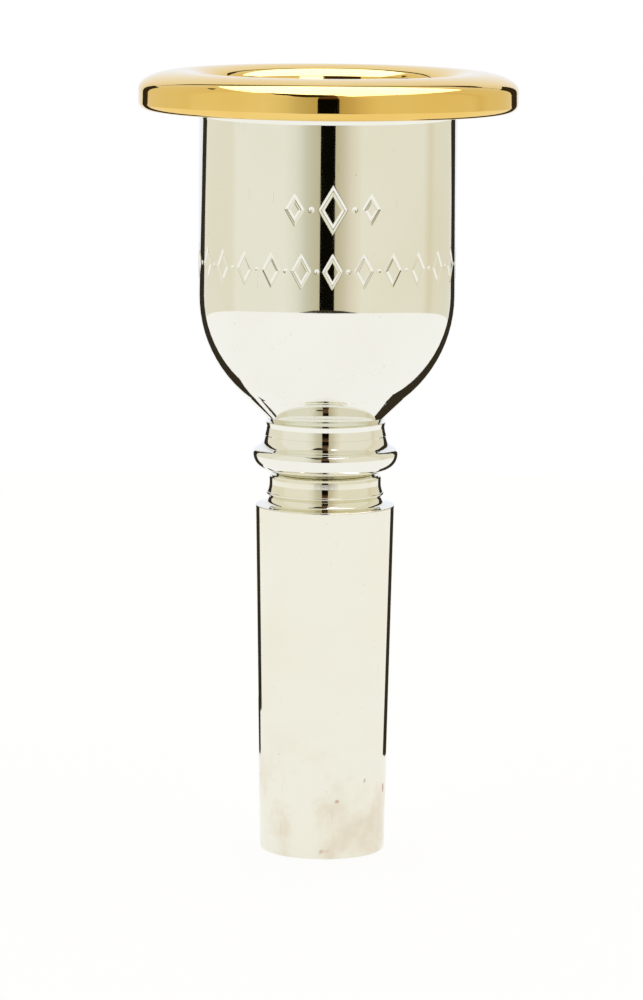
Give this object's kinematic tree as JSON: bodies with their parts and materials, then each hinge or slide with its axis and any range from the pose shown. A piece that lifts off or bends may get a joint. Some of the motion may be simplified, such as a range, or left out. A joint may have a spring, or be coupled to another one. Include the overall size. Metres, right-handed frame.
{
  "type": "brass instrument mouthpiece",
  "caption": "Large-shank trombone mouthpiece with a gold-plated screw rim, a silver-plated cup with a beaded neck, and a tapered shank with a backbore.",
  "frame": {"origin": "centre of the shank's small end, on the face that it stands on", "axes": "+Z along the mouthpiece's axis, from the shank's small end up to the rim; the part is round about Z, so X and Y are free"},
  "size_m": [0.039, 0.039, 0.081],
  "materials": {
    "gold_plate": "mirror-polished gold plate over turned brass",
    "silver_plate": "mirror-polished silver plate over turned brass, faintly tarnished at the shank's end",
    "seal_rubber": "smooth black nitrile rubber"
  },
  "bodies": {
    "shank": {"shank": "silver_plate"},
    "stem_seal": {"stem_o_ring": "seal_rubber"},
    "cup": {"cup": "silver_plate"},
    "rim_seal": {"rim_o_ring": "seal_rubber"},
    "rim": {"rim": "gold_plate"}
  },
  "joints": [
    {"name": "cup_lift", "type": "slide", "parent": "shank", "child": "stem_seal", "axis": [0, 0, 1], "range_m": [0, 0.00321]},
    {"name": "cup_unscrew", "type": "hinge", "parent": "stem_seal", "child": "cup", "pos_m": [0, 0, 0.0395], "axis": [0, 0, 1], "range_deg": [0, 1440]},
    {"name": "rim_lift", "type": "slide", "parent": "cup", "child": "rim_seal", "axis": [0, 0, 1], "range_m": [0, 0.00176]},
    {"name": "rim_unscrew", "type": "hinge", "parent": "rim_seal", "child": "rim", "pos_m": [0, 0, 0.077], "axis": [0, 0, 1], "range_deg": [0, 1260]}
  ],
  "couplings": [
    {"joint": "cup_lift", "follows": "cup_unscrew", "m_per_rad": 0.00012732},
    {"joint": "rim_lift", "follows": "rim_unscrew", "m_per_rad": 0.000079577}
  ]
}
